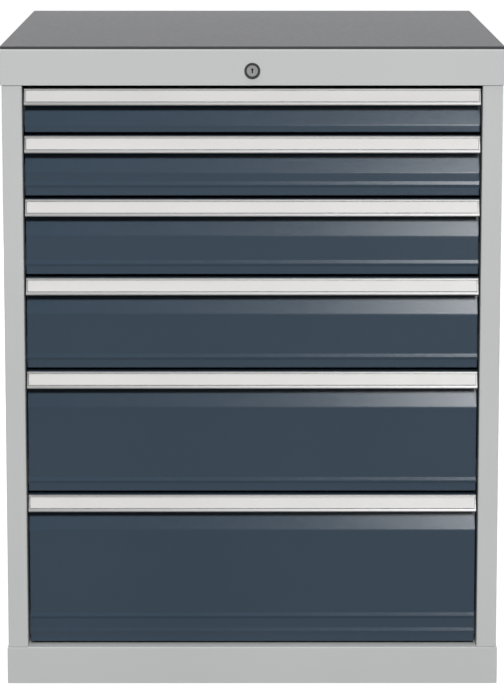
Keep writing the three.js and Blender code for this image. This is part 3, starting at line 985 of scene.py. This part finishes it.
def studio_world(strength):
    """A white studio: plain white behind the object, and a softer white that lights it."""
    world = bpy.data.worlds.new("studio_white")
    bpy.context.scene.world = world
    world.use_nodes = True
    tree = world.node_tree
    lit = tree.nodes["Background"]
    lit.inputs["Color"].default_value = (1, 1, 1, 1)
    lit.inputs["Strength"].default_value = strength
    seen = tree.nodes.new("ShaderNodeBackground")
    seen.inputs["Color"].default_value = (1, 1, 1, 1)
    path = tree.nodes.new("ShaderNodeLightPath")
    mix = tree.nodes.new("ShaderNodeMixShader")
    tree.links.new(path.outputs["Is Camera Ray"], mix.inputs["Fac"])
    tree.links.new(lit.outputs["Background"], mix.inputs[1])
    tree.links.new(seen.outputs["Background"], mix.inputs[2])
    tree.links.new(mix.outputs["Shader"], tree.nodes["World Output"].inputs["Surface"])


def studio_floor(shade, near_glow, glow):
    """A floor that looks white, with a faint shadow and a weaker glow near the object as painted
    shade there, and throws little light up at it.
    """
    bpy.ops.object.select_all(action="DESELECT")
    bpy.ops.mesh.primitive_plane_add(size=2 * FLOOR_HALF_WIDTH)
    floor = bpy.context.active_object
    floor.name = "studio_floor"
    finish = new_finish("studio_floor", Base_Color=(shade, shade, shade, 1), Roughness=0.9)
    shader = finish.node_tree.nodes["Principled BSDF"]
    shader.inputs["Emission Color"].default_value = (1, 1, 1, 1)
    path = add_node(finish, "ShaderNodeLightPath")
    share = add_node(finish, "ShaderNodeMath", operation="MULTIPLY")
    place = add_node(finish, "ShaderNodeTexCoord")
    reach = add_node(finish, "ShaderNodeVectorMath", operation="LENGTH")
    # Less glow near the object: painted shade around its foot.
    fade = add_node(finish, "ShaderNodeMapRange")
    set_range(fade, (FLOOR_SHADE_START, FLOOR_SHADE_END), (near_glow, glow))
    link(finish, place.outputs["Object"], reach.inputs[0])
    link(finish, reach.outputs["Value"], fade.inputs["Value"])
    link(finish, fade.outputs["Result"], share.inputs[1])
    link(finish, path.outputs["Is Camera Ray"], share.inputs[0])
    link(finish, share.outputs[0], shader.inputs["Emission Strength"])
    floor.data.materials.append(finish)


studio_world(strength=0.05)
studio_floor(shade=0.16, near_glow=0.88, glow=1.0)
soft_light("key_softbox", KEY_PLACE, FRONT_MIDDLE, KEY_SIZE, radiance=132, lights="matt")
soft_light("top_softbox", TOP_PLACE, TOP_TARGET, TOP_SIZE, radiance=5, lights="matt")
gloss_light("gloss_softbox", GLOSS_PLACE, FRONT_MIDDLE, GLOSS_SIZE, radiance=28)
gloss_light("gloss_edge_softbox", GLOSS_EDGE_PLACE, FRONT_MIDDLE, GLOSS_EDGE_SIZE, radiance=5.5)
gloss_light("gloss_foot_softbox", GLOSS_FOOT_PLACE, FRONT_FOOT, GLOSS_FOOT_SIZE, radiance=12)
soft_light("back_softbox", BACK_PLACE, BACK_TARGET, BACK_SIZE, radiance=1.05)
soft_light("rear_softbox", REAR_PLACE, REAR_TARGET, REAR_SIZE, radiance=4, lights="matt")
for side, place in SIDE_PLACES.items():
    soft_light(f"{side}_softbox", place, SIDE_TARGET, SIDE_SIZE, radiance=5)

camera_data = bpy.data.cameras.new("photo_camera")
camera_data.sensor_width = SENSOR
camera_data.lens = CAMERA_LENS
camera_data.shift_y = CAMERA_SHIFT
camera_data.clip_end = CAMERA_REACH
camera = bpy.data.objects.new("photo_camera", camera_data)
camera.location = CAMERA_PLACE
camera.rotation_euler = (math.pi / 2 - CAMERA_PITCH, 0, -CAMERA_YAW)
bpy.context.scene.collection.objects.link(camera)
bpy.context.scene.camera = camera
bpy.context.scene.view_settings.view_transform = "Standard"
